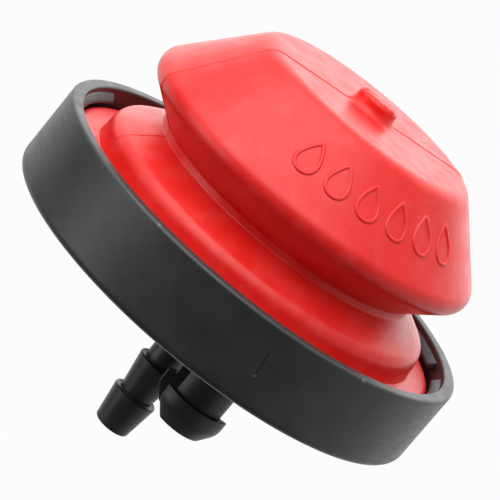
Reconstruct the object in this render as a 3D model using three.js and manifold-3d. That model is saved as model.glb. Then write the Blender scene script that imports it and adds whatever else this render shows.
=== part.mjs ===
// Primer bulb: a hollow rubber push bulb, held by its flange in a moulded cup housing.
// The housing carries a hose barb and a split snap post in one piece.
// Millimetres. +Z runs up the bulb's axis, the origin is the centre of the housing's back face,
// and +X passes through the snap post.
import * as THREE from 'three';
import { mergeVertices } from 'three/addons/utils/BufferGeometryUtils.js';
import Module from 'manifold-3d';

const wasm = await Module();
wasm.setup();

// Clearance between the rubber and the plastic
const fitGap = 0.3;

// Housing cup
const housingRadius = 27.05;
const housingHeight = 9.85;
const cupWall = 1.55;
const floorThickness = 2.4;
const backEdgeRound = 1.0;
const rimOuterRound = 0.45;
const rimInnerRound = 0.25;

// Tabs inside the rim, in two opposite pairs, that hold the flange down
const tabReach = 0.75;
const tabHeight = 1.15;
const tabFaceHeight = 0.35;
const tabDepthBelowRim = 0.65;
const tabSpanDegrees = 30;
const tabPairGapDegrees = 10;
const tabPairAzimuth = 72;
const tabPairs = 2;

// Seat ledge under the flange
const seatOverlap = 3.4;
const seatEdgeRound = 0.4;

// Hose barb, centred on the back
const barbStemRadius = 2.15;
const barbStemLength = 9.2;
const barbCrestReach = 0.65;
const barbPitch = 4.7;
const barbCount = 2;
const barbTipRound = 0.3;
const barbWall = 0.95;

// Split snap post
const postOffset = 10.0;
const postStemRadius = 3.75;
const postStemLength = 6.9;
const postHookReach = 0.8;
const postHeadLand = 1.75;
const postNoseTaper = 1.2;
const postNoseLength = 2.0;
const postNoseRound = 2.4;
const postTipRound = 0.3;
const postSlotWidth = 4.2;
const postSlotRoot = 1.3;
const postSlotAzimuth = 73.2;

// Bulb flange
const flangeSideGap = 0.45;
const flangeThickness = 2.2;
const flangeEdgeRound = 1.0;
const flangeWidth = 3.2;

// Bulb bulge above the flange
const bulbWall = 1.8;
const bulgeDraft = 0.2;
const bulgeShoulderHeight = 2.9;
const bulgeShoulderRound = 1.3;
const bulgeSlope = THREE.MathUtils.degToRad(31);

// Bulb neck, a short upright band
const neckDepth = 4.3;
const neckHeight = 0.85;
const neckTopRound = 0.3;

// Bulb cap: a funnel spreads from the neck to the rim, and a cone runs in from there to the flat top
const capOverhang = 4.35;
const capRimRound = 1.8;
const capHeight = 14.12;
const capTopRound = 2.4;
const capFunnelAngle = THREE.MathUtils.degToRad(40);
const capConeAngle = THREE.MathUtils.degToRad(48.6);

// Moulding nub on the cap's flat top
const nubRadius = 2.4;
const nubHeight = 2.3;
const nubFootRound = 0.8;
const nubTopRound = 0.45;

// Facets
const bodySegments = 60;
const postSegments = 36;
const barbSegments = 24;
const arcStep = THREE.MathUtils.degToRad(31);

// Levels and radii that follow from the sizes above
const cupInnerRadius = housingRadius - cupWall;
const tabTop = housingHeight - tabDepthBelowRim;
const tabBottom = tabTop - tabHeight;
const flangeTop = tabBottom - fitGap;
const flangeBottom = flangeTop - flangeThickness;
const seatTop = flangeBottom - fitGap;
const flangeRadius = cupInnerRadius - flangeSideGap;
const seatInnerRadius = flangeRadius - seatOverlap;
const bulgeBaseRadius = flangeRadius - flangeWidth;
const bulgeShoulderRadius = bulgeBaseRadius - bulgeDraft;
const bulgeShoulderZ = flangeTop + bulgeShoulderHeight;
const neckRadius = bulgeShoulderRadius - neckDepth;
const neckFootZ = slopeHeightAt(neckRadius, 0);
const neckTop = neckFootZ + neckHeight;
const capTop = neckTop + capHeight;
const capRimCentreRadius = neckRadius + capOverhang - capRimRound;
const capRimCentreZ = funnelHeightAt(capRimCentreRadius, capRimRound);
const barbTip = -barbStemLength - barbCount * barbPitch;
const postHeadRadius = postStemRadius + postHookReach;
const rootDepth = floorThickness / 2;
const cutMargin = 1;

// A corner is [radius, height, rounding]. Each rounded corner becomes a short arc.
// The first and last corners stay sharp.
function roundedProfile(corners) {
  const places = corners.map(([r, z]) => new THREE.Vector2(r, z));
  const sides = corners.map((corner, i) => (corner[2] ? cornerSides(places, i) : null));
  const reach = corners.map((corner, i) => (sides[i] ? corner[2] / Math.tan(sides[i].half) : 0));
  for (let i = 0; i + 1 < places.length; i++) {
    const crowding = (reach[i] + reach[i + 1]) / places[i].distanceTo(places[i + 1]);
    if (crowding > 1) {
      reach[i] /= crowding;
      reach[i + 1] /= crowding;
    }
  }
  return places.flatMap((place, i) => (sides[i] ? cornerArc(place, sides[i], reach[i]) : [place]));
}

// The directions from a corner to its two neighbours, and half the angle between them
function cornerSides(places, i) {
  const back = places[i - 1].clone().sub(places[i]).normalize();
  const ahead = places[i + 1].clone().sub(places[i]).normalize();
  return { back, ahead, half: Math.acos(THREE.MathUtils.clamp(back.dot(ahead), -1, 1)) / 2 };
}

// The arc that leaves both sides of a corner at the same distance from it
function cornerArc(corner, { back, ahead, half }, reach) {
  const middle = back.clone().add(ahead).normalize();
  const centre = corner.clone().addScaledVector(middle, reach / Math.cos(half));
  const start = corner.clone().addScaledVector(back, reach).sub(centre);
  const turn = (Math.PI - 2 * half) * Math.sign(-back.cross(ahead));
  const steps = Math.max(2, Math.ceil(Math.abs(turn) / arcStep));
  return Array.from({ length: steps + 1 }, (_, k) =>
    start.clone().rotateAround(new THREE.Vector2(), (turn * k) / steps).add(centre));
}

// A solid of revolution about Z
function turned(corners, segments) {
  const geometry = new THREE.LatheGeometry(roundedProfile(corners), segments);
  geometry.rotateX(Math.PI / 2);
  return toSolid(geometry);
}

// A closed mesh with shared vertices, as a solid that can be joined and cut
function toSolid(geometry) {
  geometry.deleteAttribute('normal');
  geometry.deleteAttribute('uv');
  const merged = mergeVertices(geometry, 1e-4);
  const index = merged.index.array;
  const triVerts = [];
  for (let i = 0; i < index.length; i += 3) {
    const [a, b, c] = index.slice(i, i + 3);
    if (a !== b && b !== c && c !== a) triVerts.push(a, b, c);
  }
  return new wasm.Manifold(new wasm.Mesh({
    numProp: 3,
    vertProperties: new Float32Array(merged.attributes.position.array),
    triVerts: new Uint32Array(triVerts),
  }));
}

function toGeometry(solid) {
  const { vertProperties, triVerts } = solid.getMesh();
  const geometry = new THREE.BufferGeometry();
  geometry.setAttribute('position', new THREE.BufferAttribute(vertProperties, 3));
  geometry.setIndex(new THREE.BufferAttribute(triVerts, 1));
  geometry.computeVertexNormals();
  return geometry;
}

function cup() {
  return turned([
    [0, 0],
    [housingRadius, 0, backEdgeRound],
    [housingRadius, housingHeight, rimOuterRound],
    [cupInnerRadius, housingHeight, rimInnerRound],
    [cupInnerRadius, seatTop],
    [seatInnerRadius, seatTop, seatEdgeRound],
    [seatInnerRadius, floorThickness, seatEdgeRound],
    [0, floorThickness],
  ], bodySegments);
}

// The tabs' section as a whole ring: a lead-in slope over a short upright face,
// with its back sunk in the wall
function tabRing() {
  const back = cupInnerRadius + cupWall / 2;
  const face = cupInnerRadius - tabReach;
  return turned([
    [back, tabBottom],
    [back, tabTop],
    [cupInnerRadius, tabTop],
    [face, tabBottom + tabFaceHeight],
    [face, tabBottom],
    [back, tabBottom],
  ], bodySegments);
}

// The sector of the ring that one tab fills
function tabSector(azimuthDegrees) {
  const start = THREE.MathUtils.degToRad(azimuthDegrees - tabSpanDegrees / 2);
  const end = THREE.MathUtils.degToRad(azimuthDegrees + tabSpanDegrees / 2);
  const outline = new THREE.Shape();
  outline.absarc(0, 0, housingRadius, start, end, false);
  outline.absarc(0, 0, seatInnerRadius, end, start, true);
  const geometry = new THREE.ExtrudeGeometry(outline, {
    depth: housingHeight,
    bevelEnabled: false,
    curveSegments: 3,
  });
  return toSolid(geometry);
}

function tabs() {
  const side = (tabSpanDegrees + tabPairGapDegrees) / 2;
  const azimuths = [];
  for (let pair = 0; pair < tabPairs; pair++) {
    const middle = tabPairAzimuth + (360 / tabPairs) * pair;
    azimuths.push(middle - side, middle + side);
  }
  const ring = tabRing();
  return azimuths.map((azimuth) => ring.intersect(tabSector(azimuth)));
}

// The barb's outside, rooted in the floor
function barbBody() {
  const corners = [[0, barbTip]];
  for (let k = 0; k < barbCount; k++) {
    const foot = barbTip + k * barbPitch;
    corners.push([barbStemRadius, foot, k === 0 ? barbTipRound : 0]);
    corners.push([barbStemRadius + barbCrestReach, foot + barbPitch]);
  }
  corners.push([barbStemRadius, -barbStemLength], [barbStemRadius, rootDepth], [0, rootDepth]);
  return turned(corners, barbSegments);
}

// The air way, through the barb and the floor
function barbBore() {
  const radius = barbStemRadius - barbWall;
  const low = barbTip - cutMargin;
  const high = floorThickness + cutMargin;
  return turned([[0, low], [radius, low], [radius, high], [0, high]], barbSegments);
}

function snapPost() {
  const shoulder = -postStemLength;
  const landEnd = shoulder - postHeadLand;
  const tip = landEnd - postNoseLength;
  const body = turned([
    [0, tip],
    [postHeadRadius - postNoseTaper, tip, postTipRound],
    [postHeadRadius, landEnd, postNoseRound],
    [postHeadRadius, shoulder],
    [postStemRadius, shoulder],
    [postStemRadius, rootDepth],
    [0, rootDepth],
  ], postSegments);
  const slotLength = -postSlotRoot - tip + cutMargin;
  const slot = new THREE.BoxGeometry(4 * postHeadRadius, postSlotWidth, slotLength);
  slot.translate(0, 0, -postSlotRoot - slotLength / 2);
  slot.rotateZ(THREE.MathUtils.degToRad(postSlotAzimuth));
  return body.subtract(toSolid(slot)).translate([postOffset, 0, 0]);
}

function housing() {
  const parts = [...tabs(), barbBody(), snapPost()];
  return parts.reduce((whole, part) => whole.add(part), cup()).subtract(barbBore());
}

// Height of the bulge's sloping top at a radius, or of the hollow under it, set in by the wall
function slopeHeightAt(r, inset) {
  return bulgeShoulderZ + (bulgeShoulderRadius - r) * Math.tan(bulgeSlope) - inset / Math.cos(bulgeSlope);
}

// Height of the cap's funnel at a radius, or of the hollow over it, set in by the wall
function funnelHeightAt(r, inset) {
  return neckTop + (r - neckRadius) * Math.tan(capFunnelAngle) + inset / Math.cos(capFunnelAngle);
}

// Radius of the cap's conical side at a height, or of the side of its hollow, set in by the wall
function coneRadiusAt(z, inset) {
  const out = capRimRound - inset;
  const r = capRimCentreRadius + out * Math.sin(capConeAngle);
  const level = capRimCentreZ + out * Math.cos(capConeAngle);
  return r - (z - level) / Math.tan(capConeAngle);
}

// Where the funnel and the cone, both set in by the wall, would meet without the rim's rounding
function rimCorner(inset, rounding) {
  const steepness = Math.tan(capFunnelAngle) / Math.tan(capConeAngle);
  const start = coneRadiusAt(funnelHeightAt(0, inset), inset);
  const r = start / (1 + steepness);
  return [r, funnelHeightAt(r, inset), rounding];
}

// One closed section: up the outside from the flange to the nub, then down the hollow
function bulb() {
  const hollowTop = capTop - bulbWall;
  const hollowBaseRadius = bulgeBaseRadius - bulbWall;
  const hollowNeckRadius = neckRadius - bulbWall;
  return turned([
    [hollowBaseRadius, flangeBottom],
    [flangeRadius, flangeBottom, flangeEdgeRound],
    [flangeRadius, flangeTop, flangeEdgeRound],
    [bulgeBaseRadius, flangeTop],
    [bulgeShoulderRadius, bulgeShoulderZ, bulgeShoulderRound],
    [neckRadius, neckFootZ],
    [neckRadius, neckTop, neckTopRound],
    rimCorner(0, capRimRound),
    [coneRadiusAt(capTop, 0), capTop, capTopRound],
    [nubRadius, capTop, nubFootRound],
    [nubRadius, capTop + nubHeight, nubTopRound],
    [0, capTop + nubHeight],
    [0, hollowTop],
    [coneRadiusAt(hollowTop, bulbWall), hollowTop],
    rimCorner(bulbWall, capRimRound / 2),
    [hollowNeckRadius, funnelHeightAt(hollowNeckRadius, bulbWall)],
    [hollowNeckRadius, slopeHeightAt(hollowNeckRadius, bulbWall)],
    [hollowBaseRadius, slopeHeightAt(hollowBaseRadius, bulbWall)],
    [hollowBaseRadius, flangeBottom],
  ], bodySegments);
}

function mesh(name, solid, color, roughness) {
  const material = new THREE.MeshStandardMaterial({ color, roughness, metalness: 0 });
  const object = new THREE.Mesh(toGeometry(solid), material);
  object.name = name;
  return object;
}

const group = new THREE.Group();
group.add(mesh('housing', housing(), 0x2f3032, 0.5));
group.add(mesh('bulb', bulb(), 0xd8231f, 0.42));

export default group;
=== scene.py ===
import math

import bmesh
import bpy
from mathutils import Matrix, Vector
from mathutils import noise as noiseField


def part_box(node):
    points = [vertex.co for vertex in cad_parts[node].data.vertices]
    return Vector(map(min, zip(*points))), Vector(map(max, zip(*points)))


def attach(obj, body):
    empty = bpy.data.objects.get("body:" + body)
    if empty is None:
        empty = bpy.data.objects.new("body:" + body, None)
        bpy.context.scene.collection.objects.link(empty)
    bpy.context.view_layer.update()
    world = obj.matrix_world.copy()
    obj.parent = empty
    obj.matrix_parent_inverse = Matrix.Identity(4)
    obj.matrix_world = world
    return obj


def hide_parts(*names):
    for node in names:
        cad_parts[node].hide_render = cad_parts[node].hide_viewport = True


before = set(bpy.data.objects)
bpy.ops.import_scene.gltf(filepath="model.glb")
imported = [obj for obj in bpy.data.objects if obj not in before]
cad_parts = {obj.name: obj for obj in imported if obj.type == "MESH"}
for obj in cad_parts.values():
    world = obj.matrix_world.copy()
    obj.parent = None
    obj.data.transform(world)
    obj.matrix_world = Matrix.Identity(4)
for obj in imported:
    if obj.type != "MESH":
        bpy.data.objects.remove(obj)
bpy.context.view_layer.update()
scene = bpy.context.scene
mm = 0.001
housingLow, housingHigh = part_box("housing")
bulbLow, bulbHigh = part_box("bulb")
print("frame loaded with", ", ".join(sorted(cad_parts)))


# The camera goes round the part by azimuth and elevation, then rolls about its own axis
cameraSettings = {
    "azimuth": 57.96,
    "elevation": 14.22,
    "roll": 39.77,
    "distance": 358.1 * mm,
    "aim": (-0.28 * mm, -0.45 * mm, 7.47 * mm),
    "lens": 231.6,
}


def makeCamera(settings):
    azimuth = math.radians(settings["azimuth"])
    elevation = math.radians(settings["elevation"])
    roll = math.radians(settings["roll"])
    right = Vector((math.cos(azimuth), math.sin(azimuth), 0))
    back = Vector((math.sin(azimuth) * math.cos(elevation),
                   -math.cos(azimuth) * math.cos(elevation), math.sin(elevation)))
    up = back.cross(right)
    rolledRight = right * math.cos(roll) + up * math.sin(roll)
    rolledUp = up * math.cos(roll) - right * math.sin(roll)
    data = bpy.data.cameras.new("camera")
    data.lens = settings["lens"]
    data.clip_start, data.clip_end = 0.01, 20
    camera = bpy.data.objects.new("camera", data)
    scene.collection.objects.link(camera)
    turn = Matrix((rolledRight, rolledUp, back)).transposed().to_4x4()
    place = Vector(settings["aim"]) + back * settings["distance"]
    camera.matrix_world = Matrix.Translation(place) @ turn
    scene.camera = camera


makeCamera(cameraSettings)
print("camera placed")


# Node helpers
def addNode(tree, kind, inputs=None, **settings):
    node = tree.nodes.new(kind)
    for key, value in settings.items():
        setattr(node, key, value)
    for key, value in (inputs or {}).items():
        if isinstance(value, bpy.types.NodeSocket):
            tree.links.new(value, node.inputs[key])
        else:
            node.inputs[key].default_value = value
    return node


def calc(tree, operation, *values):
    node = addNode(tree, "ShaderNodeMath", dict(enumerate(values)), operation=operation)
    return node.outputs[0]


def newTree(name, inputs):
    tree = bpy.data.node_groups.new(name, "GeometryNodeTree")
    tree.interface.new_socket("Geometry", in_out="INPUT", socket_type="NodeSocketGeometry")
    for key, kind in inputs.items():
        tree.interface.new_socket(key, in_out="INPUT", socket_type=kind)
    tree.interface.new_socket("Geometry", in_out="OUTPUT", socket_type="NodeSocketGeometry")
    return tree


def endTree(tree, geometry, material):
    real = addNode(tree, "GeometryNodeRealizeInstances", {"Geometry": geometry})
    dressed = addNode(tree, "GeometryNodeSetMaterial",
                      {"Geometry": real.outputs[0], "Material": material})
    addNode(tree, "NodeGroupOutput", {"Geometry": dressed.outputs[0]})


# Runs a tree on a mesh and gives its result as a plain mesh object
def grow(name, mesh, tree, values):
    carrier = bpy.data.objects.new(name, mesh)
    scene.collection.objects.link(carrier)
    modifier = carrier.modifiers.new("shape", "NODES")
    modifier.node_group = tree
    names = {s.name: s.identifier for s in tree.interface.items_tree if s.in_out == "INPUT"}
    for key, value in values.items():
        modifier[names[key]] = value
    return flatten(carrier)


# Swaps an object's modifiers for their result, with the faces pointing out
def flatten(piece, smoothAngle=None):
    graph = bpy.context.evaluated_depsgraph_get()
    mesh = bpy.data.meshes.new_from_object(piece.evaluated_get(graph))
    piece.modifiers.clear()
    old = piece.data
    piece.data = mesh
    bpy.data.meshes.remove(old)
    mesh.name = piece.name
    shape = bmesh.new()
    shape.from_mesh(mesh)
    bmesh.ops.remove_doubles(shape, verts=shape.verts, dist=0.0005 * mm)
    bmesh.ops.recalc_face_normals(shape, faces=shape.faces)
    shape.to_mesh(mesh)
    shape.free()
    mesh.shade_smooth()
    if smoothAngle is not None:
        mesh.set_sharp_from_angle(angle=math.radians(smoothAngle))
    return piece


# Gives every face of a piece the same material
def dress(piece, material):
    piece.data.materials.clear()
    piece.data.materials.append(material)
    piece.data.polygons.foreach_set("material_index", [0] * len(piece.data.polygons))


def meshFrom(name, points, edges=(), faces=()):
    mesh = bpy.data.meshes.new(name)
    mesh.from_pydata([tuple(p) for p in points], edges, faces)
    mesh.validate()
    return mesh


# A closed skin through rings that have the same number of points
def loftMesh(name, rings):
    wide = len(rings[0])
    faces = []
    for i in range(len(rings) - 1):
        for k in range(wide):
            a, b = i * wide + k, i * wide + (k + 1) % wide
            faces.append((a, b, b + wide, a + wide))
    last = (len(rings) - 1) * wide
    faces += [tuple(reversed(range(wide))), tuple(range(last, last + wide))]
    return meshFrom(name, [point for ring in rings for point in ring], faces=faces)


# Profiles: corners are (radius, height, rounding) in mm, and each rounding becomes an arc.
# A pair of points near the ends of each straight run keeps its shading flat.
def roundedProfile(corners, arcStep=9, support=0.22):
    places = [Vector((c[0], c[1])) for c in corners]
    roundings = [c[2] if len(c) > 2 else 0 for c in corners]
    sides = [None] * len(corners)
    reach = [0.0] * len(corners)
    for i in range(1, len(corners) - 1):
        if roundings[i]:
            back = (places[i - 1] - places[i]).normalized()
            ahead = (places[i + 1] - places[i]).normalized()
            half = math.acos(max(-1, min(1, back.dot(ahead)))) / 2
            sides[i] = (back, ahead, half)
            reach[i] = roundings[i] / math.tan(half)
    for i in range(len(corners) - 1):
        crowding = (reach[i] + reach[i + 1]) / (places[i + 1] - places[i]).length
        if crowding > 1:
            reach[i] /= crowding
            reach[i + 1] /= crowding
    points = []
    for i, place in enumerate(places):
        arc = [place] if sides[i] is None else cornerArc(place, sides[i], reach[i], arcStep)
        if points:
            points += supportPoints(points[-1], arc[0], support)
        points += arc
    return points


def cornerArc(place, sides, reach, arcStep):
    back, ahead, half = sides
    centre = place + (back + ahead).normalized() * (reach / math.cos(half))
    start = place + back * reach - centre
    turn = (math.pi - 2 * half) * (1 if back.x * ahead.y - back.y * ahead.x < 0 else -1)
    steps = max(2, math.ceil(abs(math.degrees(turn)) / arcStep))
    return [centre + Matrix.Rotation(turn * k / steps, 2) @ start for k in range(steps + 1)]


def supportPoints(start, end, support):
    run = end - start
    if run.length < 4 * support:
        return []
    step = run.normalized() * support
    return [start + step, end - step]


def profileMesh(name, points):
    places = [(r * mm, 0, z * mm) for r, z in points]
    return meshFrom(name, places, [(i, i + 1) for i in range(len(places) - 1)])


# A body of revolution: a grid whose rows follow the profile and whose columns go round Z
def turnedTree():
    tree = newTree("turnedBody", {"Segments": "NodeSocketInt", "Material": "NodeSocketMaterial"})
    given = addNode(tree, "NodeGroupInput").outputs
    size = addNode(tree, "GeometryNodeAttributeDomainSize", {"Geometry": given["Geometry"]})
    count = size.outputs["Point Count"]
    columns = calc(tree, "ADD", given["Segments"], 1)
    grid = addNode(tree, "GeometryNodeMeshGrid", {"Vertices X": columns, "Vertices Y": count})
    index = addNode(tree, "GeometryNodeInputIndex").outputs[0]
    row = calc(tree, "MODULO", index, count)
    column = calc(tree, "FLOOR", calc(tree, "DIVIDE", calc(tree, "ADD", index, 0.5), count))
    position = addNode(tree, "GeometryNodeInputPosition").outputs[0]
    corner = addNode(tree, "GeometryNodeSampleIndex", data_type="FLOAT_VECTOR", domain="POINT")
    tree.links.new(given["Geometry"], corner.inputs["Geometry"])
    tree.links.new(position, corner.inputs["Value"])
    tree.links.new(row, corner.inputs["Index"])
    angle = calc(tree, "MULTIPLY", calc(tree, "DIVIDE", column, given["Segments"]), 2 * math.pi)
    turned = addNode(tree, "ShaderNodeVectorRotate", rotation_type="Z_AXIS")
    tree.links.new(corner.outputs["Value"], turned.inputs["Vector"])
    tree.links.new(angle, turned.inputs["Angle"])
    moved = addNode(tree, "GeometryNodeSetPosition",
                    {"Geometry": grid.outputs["Mesh"], "Position": turned.outputs[0]})
    merged = addNode(tree, "GeometryNodeMergeByDistance",
                     {"Geometry": moved.outputs[0], "Distance": 0.001 * mm})
    endTree(tree, merged.outputs[0], given["Material"])
    return tree


# Copies of one mesh round Z, at even steps from a first azimuth
def aroundTree():
    tree = newTree("copiesAround", {"Count": "NodeSocketInt", "First": "NodeSocketFloat",
                                    "Step": "NodeSocketFloat", "Material": "NodeSocketMaterial"})
    given = addNode(tree, "NodeGroupInput").outputs
    line = addNode(tree, "GeometryNodeMeshLine", {"Count": given["Count"], "Offset": (0, 0, 0)})
    index = addNode(tree, "GeometryNodeInputIndex").outputs[0]
    angle = calc(tree, "ADD", given["First"], calc(tree, "MULTIPLY", index, given["Step"]))
    turn = addNode(tree, "ShaderNodeCombineXYZ", {"Z": angle}).outputs[0]
    copies = addNode(tree, "GeometryNodeInstanceOnPoints", {
        "Points": line.outputs["Mesh"], "Instance": given["Geometry"], "Rotation": turn})
    endTree(tree, copies.outputs[0], given["Material"])
    return tree


# A fine round bead along the mesh's edges
def beadTree():
    tree = newTree("bead", {"Radius": "NodeSocketFloat", "Material": "NodeSocketMaterial"})
    given = addNode(tree, "NodeGroupInput").outputs
    path = addNode(tree, "GeometryNodeMeshToCurve", {"Mesh": given["Geometry"]}).outputs[0]
    ring = addNode(tree, "GeometryNodeCurvePrimitiveCircle",
                   {"Resolution": 10, "Radius": given["Radius"]}).outputs[0]
    swept = addNode(tree, "GeometryNodeCurveToMesh",
                    {"Curve": path, "Profile Curve": ring, "Fill Caps": True}).outputs[0]
    endTree(tree, swept, given["Material"])
    return tree


turned, around, bead = turnedTree(), aroundTree(), beadTree()


# Materials
def newMaterial(name):
    material = bpy.data.materials.new(name)
    material.use_nodes = True
    tree = material.node_tree
    shader = tree.nodes["Principled BSDF"]
    place = addNode(tree, "ShaderNodeTexCoord").outputs["Object"]
    return material, tree, shader, place


def noise(tree, place, size, detail=3):
    node = addNode(tree, "ShaderNodeTexNoise",
                   {"Vector": place, "Scale": 1 / (size * mm), "Detail": detail})
    return node.outputs["Fac"]


def ramp(tree, value, low, high, start, end):
    node = addNode(tree, "ShaderNodeMapRange", {
        "Value": value, "From Min": low, "From Max": high, "To Min": start, "To Max": end})
    return node.outputs["Result"]


def blend(tree, factor, first, second):
    node = addNode(tree, "ShaderNodeMix", data_type="RGBA")
    tree.links.new(factor, node.inputs["Factor"])
    for socket, value in ((node.inputs[6], first), (node.inputs[7], second)):
        if isinstance(value, bpy.types.NodeSocket):
            tree.links.new(value, socket)
        else:
            socket.default_value = (*value, 1)
    return node.outputs[2]


def bump(tree, height, strength, distance, normal=None):
    inputs = {"Height": height, "Strength": strength, "Distance": distance * mm}
    if normal is not None:
        inputs["Normal"] = normal
    return addNode(tree, "ShaderNodeBump", inputs).outputs["Normal"]


# Where a noise lies in a range, faded from one value to another
def patches(tree, place, size, detail, low, high, start, end):
    return ramp(tree, noise(tree, place, size, detail), low, high, start, end)


# 1 inside a spot and 0 outside it; the core is the share of its radius that is full
def spot(tree, place, centre, radius, core=0.4):
    away = addNode(tree, "ShaderNodeVectorMath", {0: place, 1: [v * mm for v in centre]},
                   operation="DISTANCE").outputs["Value"]
    return ramp(tree, away, radius * core * mm, radius * mm, 1, 0)


# 1 inside a long thin oval drawn between two points
def stroke(tree, place, start, end, halfWidth, core=0.3):
    length = (Vector(end) - Vector(start)).length
    sides = [addNode(tree, "ShaderNodeVectorMath", {0: place, 1: [v * mm for v in point]},
                     operation="DISTANCE").outputs["Value"] for point in (start, end)]
    slack = calc(tree, "SUBTRACT", calc(tree, "ADD", *sides), length * mm)
    limit = 2 * halfWidth ** 2 / length * mm
    return ramp(tree, slack, limit * core, limit, 1, 0)


# Sparse round specks, a share of the cells holding one each
def specks(tree, place, spacing, radius, share, core=0.4):
    cells = addNode(tree, "ShaderNodeTexVoronoi", {"Vector": place, "Scale": 1 / (spacing * mm)})
    dots = ramp(tree, cells.outputs["Distance"], core * radius / spacing, radius / spacing, 1, 0)
    dice = addNode(tree, "ShaderNodeSeparateColor", {"Color": cells.outputs["Color"]})
    return calc(tree, "MULTIPLY", dots, calc(tree, "LESS_THAN", dice.outputs["Red"], share))


def stretched(tree, place, factors):
    return addNode(tree, "ShaderNodeVectorMath", {0: place, 1: factors},
                   operation="MULTIPLY").outputs["Vector"]


# In both looks, patches are a noise's size in mm, its detail and the range that fades in;
# specks are their spacing, radius and share; reliefs end in a bump's strength and depth in mm
rubberLook = {
    "red": (0.80, 0.018, 0.014),
    "deepRed": (0.73, 0.012, 0.009),
    "mottle": (7.0, 3, 0.35, 0.65),
    # Pale pink patches: partly dusty bloom, partly painted sheen
    "bloomAndSheen": (0.82, 0.15, 0.13),
    "bloomAndSheenPatches": (2.6, 7, 0.46, 0.72),
    "bloomAndSheenMost": 0.14,
    "dust": (0.90, 0.55, 0.50),
    "dustSpecks": (0.9, 0.07, 0.3),
    "dustMost": 0.55,
    "dustRoughness": 0.3,
    "stain": (0.25, 0.012, 0.010),
    "stainMost": 0.8,
    "spots": [((12.11, 12.43, 13.57), 0.16), ((-14.7, -18.92, 7.75), 0.22),
              ((-7.82, -19.39, 11.1), 0.26), ((-5.43, -19.18, 11.69), 0.2)],
    "roughness": (0.30, 0.42),
    "roughPatches": (2.4, 5, 0.3, 0.7),
    "swellRelief": (2.2, 0.08, 0.04),
    "peelRelief": (0.75, 0.20, 0.022),
    "grainRelief": (0.3, 0.25, 0.009),
    "speckRelief": (0.3, 0.02),
    "specular": 0.38,
    "coat": 0.05,
    "coatRoughness": 0.2,
}


def makeRubber(look):
    material, tree, shader, place = newMaterial("red_rubber")
    mottle = patches(tree, place, *look["mottle"], 0, 1)
    colour = blend(tree, mottle, look["red"], look["deepRed"])
    # Pale pink patches over the red, partly dusty bloom and partly painted sheen
    bloomAndSheen = patches(tree, place, *look["bloomAndSheenPatches"], 0, look["bloomAndSheenMost"])
    colour = blend(tree, bloomAndSheen, colour, look["bloomAndSheen"])
    dust = calc(tree, "MULTIPLY", specks(tree, place, *look["dustSpecks"]), look["dustMost"])
    colour = blend(tree, dust, colour, look["dust"])
    stains = 0
    for centre, radius in look["spots"]:
        stains = calc(tree, "MAXIMUM", stains, spot(tree, place, centre, radius))
    colour = blend(tree, calc(tree, "MULTIPLY", stains, look["stainMost"]), colour, look["stain"])
    tree.links.new(colour, shader.inputs["Base Color"])
    rough = patches(tree, place, *look["roughPatches"], *look["roughness"])
    rough = calc(tree, "ADD", rough, calc(tree, "MULTIPLY", dust, look["dustRoughness"]))
    tree.links.new(rough, shader.inputs["Roughness"])
    normal = None
    for size, strength, depth in (look["swellRelief"], look["peelRelief"], look["grainRelief"]):
        normal = bump(tree, noise(tree, place, size), strength, depth, normal)
    raised = calc(tree, "ADD", dust, stains)
    tree.links.new(bump(tree, raised, *look["speckRelief"], normal), shader.inputs["Normal"])
    shader.inputs["Specular IOR Level"].default_value = look["specular"]
    shader.inputs["Coat Weight"].default_value = look["coat"]
    shader.inputs["Coat Roughness"].default_value = look["coatRoughness"]
    return material


plasticLook = {
    "black": (0.022, 0.023, 0.024),
    "grey": (0.031, 0.032, 0.033),
    "cloud": (4.0, 5, 0.35, 0.65),
    # Lighter grey on the rim's top: partly wear, partly painted sheen
    "wearAndSheen": (0.036, 0.037, 0.038),
    "wearAndSheenFrom": 9.35,
    "wearAndSheenMost": 0.75,
    "wearAndSheenPatches": (1.5, 5, 0.35, 0.6),
    "wearAndSheenLeast": 0.35,
    "dust": (0.35, 0.35, 0.34),
    "dustSpecks": (0.8, 0.06, 0.22),
    "dustMost": 0.32,
    "dustRoughness": 0.4,
    "lipMarks": [((0.98, -24.96, 9.85), 0.3), ((16.37, -21.35, 9.75), 0.3),
                 ((26.75, 3.86, 9.75), 0.35)],
    "fleck": ((26.2, -6.73, 3.95), 0.2),
    "mouldLine": ((26.08, -7.17, 7.27), (26.2, -6.73, 3.95), 0.10),
    "lineBlack": (0.003, 0.003, 0.003),
    "roughness": (0.34, 0.46),
    "streakStretch": (1, 1, 14),
    "streaks": (2.5, 4),
    "streakRange": (0.3, 0.7),
    "streakRelief": (0.10, 0.01),
    "grainRelief": (0.3, 0.16, 0.008),
    "markRelief": (0.5, 0.03),
}


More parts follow.
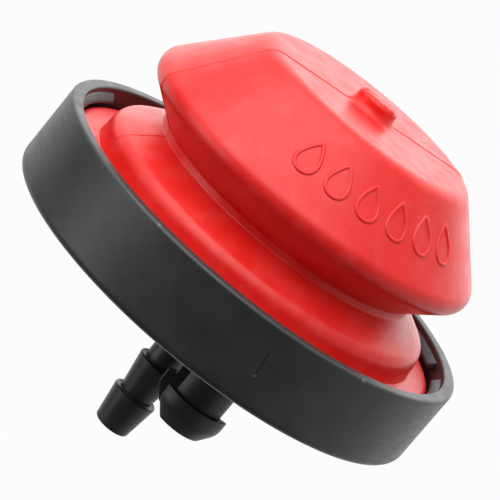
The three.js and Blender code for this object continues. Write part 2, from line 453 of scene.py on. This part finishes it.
def makePlastic(look):
    material, tree, shader, place = newMaterial("black_plastic")
    cloud = patches(tree, place, *look["cloud"], 0, 1)
    colour = blend(tree, cloud, look["black"], look["grey"])
    # The rim's top is lightened in patches by height, partly wear and partly painted sheen
    height = addNode(tree, "ShaderNodeSeparateXYZ", {"Vector": place}).outputs["Z"]
    edge = ramp(tree, height, look["wearAndSheenFrom"] * mm, housingHigh.z, 0, look["wearAndSheenMost"])
    patchy = patches(tree, place, *look["wearAndSheenPatches"], look["wearAndSheenLeast"], 1)
    wearAndSheen = calc(tree, "MULTIPLY", edge, patchy)
    colour = blend(tree, wearAndSheen, colour, look["wearAndSheen"])
    dust = specks(tree, place, *look["dustSpecks"])
    for centre, radius in look["lipMarks"] + [look["fleck"]]:
        dust = calc(tree, "MAXIMUM", dust, spot(tree, place, centre, radius))
    dust = calc(tree, "MULTIPLY", dust, look["dustMost"])
    colour = blend(tree, dust, colour, look["dust"])
    line = stroke(tree, place, *look["mouldLine"])
    colour = blend(tree, line, colour, look["lineBlack"])
    tree.links.new(colour, shader.inputs["Base Color"])
    streaks = noise(tree, stretched(tree, place, look["streakStretch"]), *look["streaks"])
    rough = ramp(tree, streaks, *look["streakRange"], *look["roughness"])
    rough = calc(tree, "ADD", rough, calc(tree, "MULTIPLY", dust, look["dustRoughness"]))
    tree.links.new(rough, shader.inputs["Roughness"])
    size, strength, depth = look["grainRelief"]
    normal = bump(tree, streaks, *look["streakRelief"])
    normal = bump(tree, noise(tree, place, size), strength, depth, normal)
    marked = calc(tree, "SUBTRACT", dust, line)
    tree.links.new(bump(tree, marked, *look["markRelief"], normal), shader.inputs["Normal"])
    return material


rubber, plastic = makeRubber(rubberLook), makePlastic(plasticLook)


# Housing cup with the hose barb on its axis, one turned body, in mm
housing = {
    "radius": housingHigh.x / mm,
    "height": housingHigh.z / mm,
    "wall": 1.55,
    "floor": 2.4,
    "backRound": 1.0,
    "rimOuterRound": 0.45,
    "rimInnerRound": 0.25,
    "seatTop": 5.25,
    "seatRadius": 21.65,
    "seatWallRound": 0.15,
    "edgeRound": 0.4,
    "boreRound": 0.2,
    "rootRound": 0.35,
    "segments": 288,
    "smoothAngle": 32,
}

barb = {
    "tip": housingLow.z / mm,
    "stemRadius": 2.15,
    "crestReach": 0.65,
    "pitch": 4.7,
    "count": 2,
    "wall": 0.95,
    "mouthRound": 0.15,
    "footRound": 0.3,
    "footRise": 0.5,
    "crestRound": 0.16,
    "undercut": 0.3,
    "grooveDepth": 0.12,
    "grooveRound": 0.15,
}


def housingProfile(cup, hose):
    bore = hose["stemRadius"] - hose["wall"]
    inner = cup["radius"] - cup["wall"]
    middle = (bore, hose["tip"] / 2)
    groove = hose["stemRadius"] - hose["grooveDepth"]
    top = hose["tip"] + hose["count"] * hose["pitch"]
    corners = [middle, (bore, hose["tip"], hose["mouthRound"])]
    for k in range(hose["count"]):
        foot = hose["tip"] + k * hose["pitch"]
        crest = foot + hose["pitch"]
        rise = hose["footRise"] if k else 0
        corners += [
            (hose["stemRadius"], foot + rise, hose["footRound"]),
            (hose["stemRadius"] + hose["crestReach"], crest, hose["crestRound"]),
            (groove, crest - hose["undercut"], hose["grooveRound"]),
        ]
    corners += [
        (hose["stemRadius"], top + hose["footRise"], hose["footRound"]),
        (hose["stemRadius"], 0, cup["rootRound"]),
        (cup["radius"], 0, cup["backRound"]),
        (cup["radius"], cup["height"], cup["rimOuterRound"]),
        (inner, cup["height"], cup["rimInnerRound"]),
        (inner, cup["seatTop"], cup["seatWallRound"]),
        (cup["seatRadius"], cup["seatTop"], cup["edgeRound"]),
        (cup["seatRadius"], cup["floor"], cup["edgeRound"]),
        (bore, cup["floor"], cup["boreRound"]),
        middle,
    ]
    return roundedProfile(corners)


# Snap tabs under the rim: a lead-in slope over a short upright face, rounded off at both ends
tabs = {
    "reach": 0.75,
    "height": 1.15,
    "depthBelowRim": 0.65,
    "face": 0.35,
    "faceBlend": 0.2,
    "faceBlendIn": 0.05,
    "lowerEdge": 0.08,
    "bite": 0.1,
    "span": 30,
    "spread": 40,
    "middle": 72,
    "endRound": 0.35,
    "endReach": 0.02,
    "endSteps": 5,
    "steps": 40,
}


# Azimuths along a tab, each with the share of its reach that it has there
def tabSteps(tab, inner):
    half = math.radians(tab["span"]) / 2
    endAngle = tab["endRound"] / inner
    count = tab["endSteps"]
    ends = [-half + endAngle * (1 - math.cos(math.pi / 2 * k / count)) for k in range(count + 1)]
    middle = [-half + endAngle + (2 * half - 2 * endAngle) * k / tab["steps"]
              for k in range(1, tab["steps"])]
    for angle in ends + middle + [-a for a in reversed(ends)]:
        fromEnd = min(1, (half - abs(angle)) / endAngle)
        out = math.sqrt(max(0, 1 - (1 - fromEnd) ** 2))
        yield angle, out * (1 - tab["endReach"]) + tab["endReach"]


def tabMesh(tab, cup):
    inner = cup["radius"] - cup["wall"]
    root = inner + cup["wall"] / 2
    top = cup["height"] - tab["depthBelowRim"]
    bottom = top - tab["height"]
    edge, share = tab["lowerEdge"], tab["faceBlend"]
    rings = []
    for angle, out in tabSteps(tab, inner):
        face = inner - tab["reach"] * out
        section = [
            (root, bottom), (face + edge, bottom), (face, bottom + edge),
            (face, bottom + tab["face"] * (1 - share)),
            (face + tab["faceBlendIn"] * out, bottom + tab["face"] * (1 + share)),
            (inner + tab["bite"], top), (root, top),
        ]
        rings.append([(r * mm * math.cos(angle), r * mm * math.sin(angle), z * mm)
                      for r, z in section])
    return loftMesh("tab", rings)


# Split snap post: a collar at the root and two legs of D section with hooked heads
post = {
    "offset": 10.0,
    "stemRadius": 3.75,
    "stemLength": 6.9,
    "hookReach": 0.8,
    "land": 1.75,
    "noseTaper": 1.2,
    "noseLength": 2.0,
    "noseRound": 2.4,
    "tipRound": 0.3,
    "tipFlat": 0.25,
    "shoulderRound": 0.15,
    "hookEdge": 0.08,
    "bite": 1.0,
    "slotWidth": 4.2,
    "slotRoot": 1.3,
    "slotAzimuth": 73.2,
    "edgeRound": 0.16,
    "edgePoints": 5,
    "arcPoints": 40,
    "collarProud": 0.02,
    "collarDraft": 0.05,
    "collarFoot": 0.35,
    "collarEdge": 0.04,
    "collarSegments": 96,
}


# Outline of a leg beyond the slot's side, with its two long edges rounded
def legSection(radius, sizes):
    slot, edge = sizes["slotWidth"] / 2, sizes["edgeRound"]
    count, edgeCount = sizes["arcPoints"], sizes["edgePoints"]
    side = math.sqrt((radius - edge) ** 2 - (slot + edge) ** 2)
    corner = math.atan2(side, slot + edge)
    points = [(radius * math.cos(a), radius * math.sin(a))
              for a in (-corner + 2 * corner * k / count for k in range(count + 1))]
    turns = [corner + (math.pi - corner) * k / edgeCount for k in range(1, edgeCount + 1)]
    upper = [(slot + edge + edge * math.cos(a), side + edge * math.sin(a)) for a in turns]
    lower = [(x, -y) for x, y in reversed(upper)]
    flat = [(slot, side * (1 - 2 * k / (edgeCount + 1))) for k in range(1, edgeCount + 1)]
    return points + upper + flat + lower


def legMesh(sizes):
    shoulder = -sizes["stemLength"]
    landEnd = shoulder - sizes["land"]
    tip = landEnd - sizes["noseLength"]
    head = sizes["stemRadius"] + sizes["hookReach"]
    outline = roundedProfile([
        (sizes["stemRadius"], sizes["bite"]),
        (sizes["stemRadius"], shoulder, sizes["shoulderRound"]),
        (head, shoulder, sizes["hookEdge"]),
        (head, landEnd, sizes["noseRound"]),
        (head - sizes["noseTaper"], tip, sizes["tipRound"]),
        (head - sizes["noseTaper"] - sizes["tipFlat"], tip),
    ])
    rings = [[(x * mm, y * mm, z * mm) for x, y in legSection(r, sizes)] for r, z in outline]
    return loftMesh("leg", rings)


def collarProfile(sizes):
    stem, root = sizes["stemRadius"], -sizes["slotRoot"]
    foot = stem + sizes["collarFoot"]
    return roundedProfile([
        (0, root),
        (stem + sizes["collarProud"], root, sizes["collarEdge"]),
        (stem + sizes["collarDraft"], -sizes["collarFoot"]),
        (foot, sizes["collarProud"]),
        (foot, sizes["bite"]),
        (0, sizes["bite"]),
    ])


def makeHousing():
    piece = grow("cup_housing", profileMesh("cup", housingProfile(housing, barb)), turned,
                 {"Segments": housing["segments"], "Material": plastic})
    parts = []
    for side in (-1, 1):
        first = math.radians(tabs["middle"] + side * tabs["spread"] / 2)
        parts.append(grow("tabs", tabMesh(tabs, housing), around,
                          {"Count": 2, "First": first, "Step": math.pi, "Material": plastic}))
    collar = grow("collar", profileMesh("collar", collarProfile(post)), turned,
                  {"Segments": post["collarSegments"], "Material": plastic})
    legs = grow("legs", legMesh(post), around, {
        "Count": 2, "First": math.radians(post["slotAzimuth"] + 90), "Step": math.pi,
        "Material": plastic})
    for part in (collar, legs):
        part.data.transform(Matrix.Translation((post["offset"] * mm, 0, 0)))
        parts.append(part)
    for part in parts:
        join = piece.modifiers.new("join", "BOOLEAN")
        join.operation, join.solver, join.object = "UNION", "EXACT", part
    flatten(piece, housing["smoothAngle"])
    dress(piece, plastic)
    for part in parts:
        bpy.data.objects.remove(part)
    return piece


cup = makeHousing()
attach(cup, "root")
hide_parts("housing")
print("housing made,", len(cup.data.polygons), "faces")


# Rubber bulb: its outside from the flange up to the moulding nub, then its hollow, in mm
bulb = {
    "flangeBottom": bulbLow.z / mm,
    "flangeRadius": bulbHigh.x / mm,
    "flangeThickness": 2.2,
    "flangeRound": 1.0,
    "flangeWidth": 3.2,
    "wall": 1.8,
    "draft": 0.2,
    "shoulderHeight": 2.9,
    "shoulderRound": 1.9,
    "slope": 31,
    "neckDepth": 4.3,
    "neckHeight": 0.85,
    "neckRound": 0.3,
    "capOverhang": 4.35,
    "rimRound": 1.8,
    "capHeight": 14.12,
    "topRound": 2.4,
    "funnelAngle": 40,
    "coneAngle": 48.6,
    "nubRadius": 2.55,
    "nubFootRound": 1.1,
    "nubTopRound": 0.7,
    "rootRound": 0.18,
    "hollowTopRound": 0.6,
    "hollowRound": 0.4,
    "mouthRound": 0.2,
    "liningArcStep": 15,
    "segments": 288,
}


def bulbCorners(b):
    slope, funnel, cone = (math.radians(b[k]) for k in ("slope", "funnelAngle", "coneAngle"))
    flangeTop = b["flangeBottom"] + b["flangeThickness"]
    base = b["flangeRadius"] - b["flangeWidth"]
    shoulder = base - b["draft"]
    shoulderZ = flangeTop + b["shoulderHeight"]
    neck = shoulder - b["neckDepth"]
    footZ = shoulderZ + (shoulder - neck) * math.tan(slope)
    neckTop = footZ + b["neckHeight"]
    capTop = neckTop + b["capHeight"]

    def funnelHeight(r, inset):
        return neckTop + (r - neck) * math.tan(funnel) + inset / math.cos(funnel)

    rimRadius = neck + b["capOverhang"] - b["rimRound"]
    rimLevel = funnelHeight(rimRadius, b["rimRound"])

    def coneRadius(z, inset):
        out = b["rimRound"] - inset
        r = rimRadius + out * math.sin(cone)
        return r - (z - rimLevel - out * math.cos(cone)) / math.tan(cone)

    def rimCorner(inset):
        r = coneRadius(funnelHeight(0, inset), inset) / (1 + math.tan(funnel) / math.tan(cone))
        return r, funnelHeight(r, inset)

    def slopeHeight(r, inset):
        return shoulderZ + (shoulder - r) * math.tan(slope) - inset / math.cos(slope)

    outside = [
        (b["flangeRadius"], b["flangeBottom"], b["flangeRound"]),
        (b["flangeRadius"], flangeTop, b["flangeRound"]),
        (base, flangeTop, b["rootRound"]),
        (shoulder, shoulderZ, b["shoulderRound"]),
        (neck, footZ, b["neckRound"]),
        (neck, neckTop, b["neckRound"]),
        (*rimCorner(0), b["rimRound"]),
        (coneRadius(capTop, 0), capTop, b["topRound"]),
        (b["nubRadius"], capTop, b["nubFootRound"]),
        (b["nubRadius"], bulbHigh.z / mm, b["nubTopRound"]),
        (0, bulbHigh.z / mm),
    ]
    hollowBase, hollowNeck = base - b["wall"], neck - b["wall"]
    hollowTop = capTop - b["wall"]
    inside = [
        (0, hollowTop),
        (coneRadius(hollowTop, b["wall"]), hollowTop, b["hollowTopRound"]),
        (*rimCorner(b["wall"]), b["rimRound"] / 2),
        (hollowNeck, funnelHeight(hollowNeck, b["wall"]), b["hollowRound"]),
        (hollowNeck, slopeHeight(hollowNeck, b["wall"]), b["hollowRound"]),
        (hollowBase, slopeHeight(hollowBase, b["wall"]), b["hollowRound"]),
        (hollowBase, b["flangeBottom"], b["mouthRound"]),
    ]
    return outside, inside


# Parting ridge: a fine bead up both sides of the skin, in the plane where the mould parts.
# It starts a little way above the flange's edge and ends on the nub.
ridge = {
    "azimuth": 84.8,
    "radius": 0.20,
    "sunk": 0.12,
    "footReach": 0.6,
    "footRise": 1.0,
    "innerEnd": 2.0,
}


def ridgeMesh(settings, skin, baseRadius):
    widest, lowest = baseRadius + settings["footReach"], skin[0].y + settings["footRise"]
    side = []
    for before, here, after in zip(skin, skin[1:], skin[2:]):
        run = (after - before).normalized()
        if here.x < widest and here.y > lowest:
            side.append((here.x - run.y * settings["sunk"], here.y + run.x * settings["sunk"]))
    side = [(r, z) for r, z in side if r > settings["innerEnd"]]
    azimuth = math.radians(settings["azimuth"])
    places, edges = [], []
    for sign in (1, -1):
        edges += [(len(places) + i, len(places) + i + 1) for i in range(len(side) - 1)]
        places += [(sign * r * mm * math.cos(azimuth), sign * r * mm * math.sin(azimuth), z * mm)
                   for r, z in side]
    return meshFrom("ridge", places, edges)


# Raised drop outlines round the cap's cone
marks = {
    "count": 6,
    "first": -38,
    "step": 13,
    "width": 2.5,
    "slimness": 1.5,
    "length": 4.3,
    "radiusOnCone": 17.6,
    "beadRadius": 0.27,
    "sunk": 0.11,
    "points": 44,
}


def dropMesh(settings, lowEnd, highEnd):
    up = (highEnd - lowEnd).normalized()
    middle = lowEnd + up * ((settings["radiusOnCone"] - lowEnd.x) / up.x)
    inward = Vector((-up.y, up.x)) * settings["sunk"]
    places = []
    for k in range(settings["points"]):
        t = 2 * math.pi * k / settings["points"]
        across = settings["width"] / settings["slimness"] * math.sin(t) * math.sin(t / 2)
        along = settings["length"] / 2 * math.cos(t)
        r, z = (middle + up * along + inward) * mm
        angle = across / settings["radiusOnCone"]
        places.append((r * math.cos(angle), r * math.sin(angle), z))
    edges = [(k, (k + 1) % settings["points"]) for k in range(settings["points"])]
    return meshFrom("drop", places, edges)


# Roughens the nub's end into a low dome, as it was cut off by hand
cutEnd = {
    "dome": 0.25,
    "lean": 0.05,
    "roughness": 0.36,
    "grain": 0.9,
    "beyondNub": 0.3,
    "aboveCap": 1.0,
}


def cutNub(piece, settings, nubRadius, capTop):
    radius = (nubRadius + settings["beyondNub"]) * mm
    foot, top = (capTop + settings["aboveCap"]) * mm, bulbHigh.z
    for vertex in piece.data.vertices:
        r = math.hypot(vertex.co.x, vertex.co.y)
        if r < radius and vertex.co.z > foot:
            share = min(1, (vertex.co.z - foot) / (top - foot))
            dome = settings["dome"] * (r / radius) ** 2
            lean = settings["lean"] * (1 + vertex.co.y / radius)
            rough = noiseField.noise(vertex.co / (settings["grain"] * mm)) * 0.5 + 0.5
            vertex.co.z -= share * (dome + lean + settings["roughness"] * rough) * mm


# Adds other meshes to a piece's own mesh, as they lie
def gather(piece, parts):
    shape = bmesh.new()
    for part in [piece] + parts:
        shape.from_mesh(part.data)
    shape.to_mesh(piece.data)
    shape.free()
    piece.data.shade_smooth()
    for part in parts:
        bpy.data.objects.remove(part)


def makeBulb():
    outside, inside = bulbCorners(bulb)
    start = ((bulb["flangeRadius"] + inside[-1][0]) / 2, bulb["flangeBottom"])
    skin = roundedProfile([start] + outside)
    lining = roundedProfile(inside + [start], bulb["liningArcStep"])
    piece = grow("push_bulb", profileMesh("bulb", skin + lining), turned,
                 {"Segments": bulb["segments"], "Material": rubber})
    base = bulb["flangeRadius"] - bulb["flangeWidth"]
    line = grow("ridge", ridgeMesh(ridge, skin, base), bead,
                {"Radius": ridge["radius"] * mm, "Material": rubber})
    rim, top = (Vector(corner[:2]) for corner in outside[6:8])
    drop = grow("drop", dropMesh(marks, rim, top), bead,
                {"Radius": marks["beadRadius"] * mm, "Material": rubber})
    drops = grow("drops", drop.data.copy(), around, {
        "Count": marks["count"], "First": math.radians(marks["first"]),
        "Step": math.radians(marks["step"]), "Material": rubber})
    bpy.data.objects.remove(drop)
    for part in (piece, line):
        cutNub(part, cutEnd, bulb["nubRadius"], top.y)
    gather(piece, [line, drops])
    dress(piece, rubber)
    return piece


pushBulb = makeBulb()
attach(pushBulb, "root")
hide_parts("bulb")
print("bulb made,", len(pushBulb.data.polygons), "faces")


# Floor and lights: a dim room with soft lights, each by azimuth and elevation of its middle,
# the angles from the middle where it starts and is full, and its strength
stage = {
    "floorWhite": 0.973,
    "floorSize": 12.0,
    "roomGrey": 0.08,
    "lights": {
        "overhead": (0, 90, 78, 20, 0.8),
        "key": (-70, 60, 50, 8, 2.05),
        "leftKey": (-106, 36, 46, 8, 1.0),
        "behind": (150, -4, 84, 34, 0.9),
        "skyline": (150, 20, 44, 12, 0.8),
        "sidePatch": (-98, -12, 25, 5, 2.1),
        "farSide": (58, -6, 52, 12, 0.5),
    },
}


def makeFloor(settings):
    half = settings["floorSize"] / 2
    level = housingLow.z
    mesh = meshFrom("floor", [(-half, -half, level), (half, -half, level),
                              (half, half, level), (-half, half, level)], faces=[(0, 1, 2, 3)])
    floor = bpy.data.objects.new("floor", mesh)
    scene.collection.objects.link(floor)
    material = bpy.data.materials.new("pale_floor")
    material.use_nodes = True
    shader = material.node_tree.nodes["Principled BSDF"]
    white = settings["floorWhite"]
    shader.inputs["Base Color"].default_value = (0, 0, 0, 1)
    shader.inputs["Specular IOR Level"].default_value = 0
    shader.inputs["Roughness"].default_value = 1
    shader.inputs["Emission Color"].default_value = (white, white, white, 1)
    shader.inputs["Emission Strength"].default_value = 1
    mesh.materials.append(material)
    floor.visible_diffuse = floor.visible_glossy = floor.visible_shadow = False


def makeLights(settings):
    world = bpy.data.worlds.new("studio")
    world.use_nodes = True
    tree = world.node_tree
    way = addNode(tree, "ShaderNodeTexCoord").outputs["Generated"]
    total = settings["roomGrey"]
    for azimuth, elevation, starts, full, strength in settings["lights"].values():
        a, e = math.radians(azimuth), math.radians(elevation)
        middle = (math.cos(a) * math.cos(e), math.sin(a) * math.cos(e), math.sin(e))
        facing = addNode(tree, "ShaderNodeVectorMath", {0: way, 1: middle},
                         operation="DOT_PRODUCT").outputs["Value"]
        glow = addNode(tree, "ShaderNodeMapRange", {
            "Value": facing, "From Min": math.cos(math.radians(starts)),
            "From Max": math.cos(math.radians(full)), "To Max": strength},
            interpolation_type="SMOOTHSTEP").outputs["Result"]
        total = calc(tree, "ADD", total, glow)
    tree.links.new(total, tree.nodes["Background"].inputs["Color"])
    scene.world = world
    scene.view_settings.view_transform = "Standard"


makeFloor(stage)
makeLights(stage)
print("stage made")
